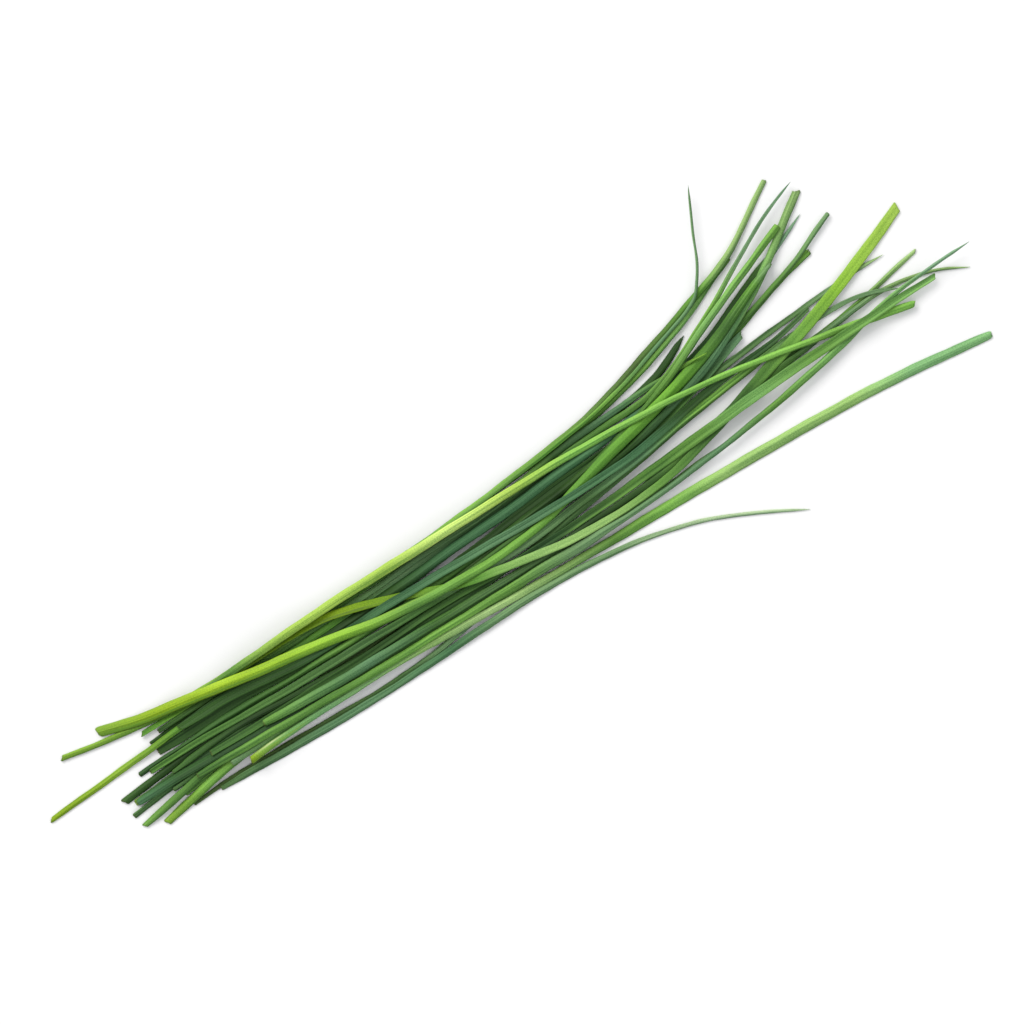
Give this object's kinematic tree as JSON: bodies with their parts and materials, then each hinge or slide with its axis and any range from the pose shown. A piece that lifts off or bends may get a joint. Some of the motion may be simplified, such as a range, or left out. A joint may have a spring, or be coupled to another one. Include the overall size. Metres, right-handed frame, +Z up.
{
  "type": "garlic chive bunch",
  "caption": "Loose bunch of cut garlic chives lying on its side: long flat leaf blades, cut straight at the base, that overlap and fan out to narrow tips.",
  "frame": {"origin": "middle of the bunch's length and width, on the table", "axes": "+X along the bunch from the cut bases to the tips, +Y across it to the left when looking along +X, +Z up from the table"},
  "size_m": [0.3252, 0.1018, 0.0073],
  "materials": {
    "deep_green": "waxy fresh leaf, softly glossy, with fine lengthwise veins",
    "mid_green": "waxy fresh leaf, softly glossy, with fine lengthwise veins",
    "yellow_green": "waxy fresh leaf, softly glossy, with fine lengthwise veins",
    "blue_green": "waxy fresh leaf, softly glossy, with fine lengthwise veins",
    "pale_green": "waxy fresh leaf, softly glossy, with fine lengthwise veins"
  },
  "bodies": {
    "root": {"leaf_01_long_top": "yellow_green", "leaf_02_crossing": "pale_green", "leaf_03_broad_bright": "yellow_green", "leaf_04_blue": "blue_green", "leaf_05_dark_left": "deep_green", "leaf_06_thin_left": "yellow_green", "leaf_07_kinked_upper": "mid_green", "leaf_08_raised_tip": "blue_green", "leaf_09_upper_pair": "mid_green", "leaf_10_short_point": "yellow_green", "leaf_11_fan_high": "mid_green", "leaf_12_dark_short": "deep_green", "leaf_13_fan_middle": "mid_green", "leaf_14_blue_tip": "blue_green", "leaf_15_dark_middle": "mid_green", "leaf_16_torn_end": "blue_green", "leaf_17_lower_fan": "mid_green", "leaf_18_outer_fan": "mid_green", "leaf_19_low_long": "mid_green", "leaf_20_pale_outer": "pale_green", "leaf_21_broad_low": "pale_green", "leaf_22_thin_hook": "blue_green", "leaf_23_grey_low": "blue_green", "leaf_24_olive_under": "deep_green", "leaf_25_olive_left": "deep_green", "leaf_26_dark_low": "deep_green", "leaf_27_bright_base": "yellow_green", "leaf_28_dull_under": "blue_green", "leaf_29_thin_edge": "deep_green", "leaf_30_curved_outer": "mid_green"}
  },
  "joints": []
}
